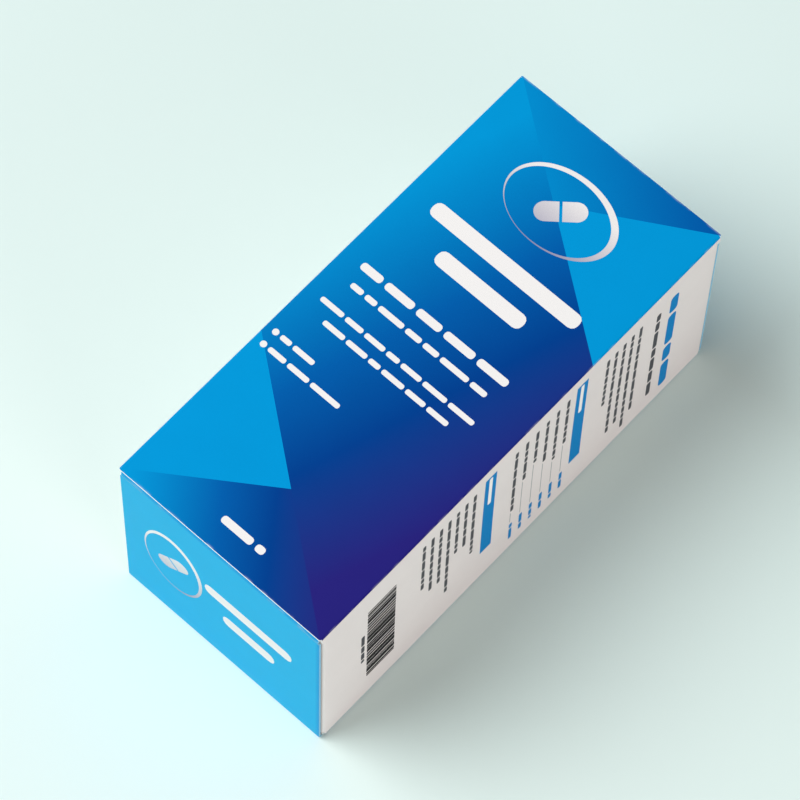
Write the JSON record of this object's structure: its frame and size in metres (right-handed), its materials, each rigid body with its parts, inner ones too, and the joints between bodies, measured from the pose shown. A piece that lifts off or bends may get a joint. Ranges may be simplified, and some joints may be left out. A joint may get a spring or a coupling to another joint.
{
  "type": "medicine bottle carton",
  "caption": "Folding cardboard carton with hinged tuck-in end lids, holding an amber glass syrup bottle with a screw cap, a dosing cup and a folded leaflet.",
  "frame": {"origin": "centre of the outer face of the back panel, on which the carton lies", "axes": "+Z out of the front panel, +X out of the right side panel, +Y out of the top lid, along the bottle from its base to its cap"},
  "size_m": [0.05, 0.11, 0.05],
  "materials": {
    "carton_body": "semi-gloss printed folding board, white on the right side, grey-white inside",
    "bottom_lid": "semi-gloss printed folding board",
    "top_lid": "semi-gloss printed folding board",
    "bottle": "amber moulded glass",
    "syrup": "clear dark red-brown liquid",
    "screw_cap": "white moulded polyethylene, ribbed grip",
    "cap_liner": "foamed sealing disc",
    "bottle_label": "white label with plain blue fields",
    "dosing_cup": "translucent moulded polypropylene",
    "leaflet": "thin uncoated printed paper"
  },
  "bodies": {
    "carton": {"carton_body": "carton_body", "bottle": "bottle", "syrup": "syrup", "screw_cap": "screw_cap", "cap_liner": "cap_liner", "bottle_label": "bottle_label", "dosing_cup": "dosing_cup", "leaflet": "leaflet"},
    "bottom_lid": {"bottom_lid": "bottom_lid"},
    "top_lid": {"top_lid": "top_lid"}
  },
  "joints": [
    {"name": "bottom_lid_hinge", "type": "hinge", "parent": "carton", "child": "bottom_lid", "pos_m": [0, -0.05477, 0.00022], "axis": [1, 0, 0], "range_deg": [0, 90]},
    {"name": "top_lid_hinge", "type": "hinge", "parent": "carton", "child": "top_lid", "pos_m": [0, 0.05477, 0.00022], "axis": [-1, 0, 0], "range_deg": [0, 90]}
  ]
}
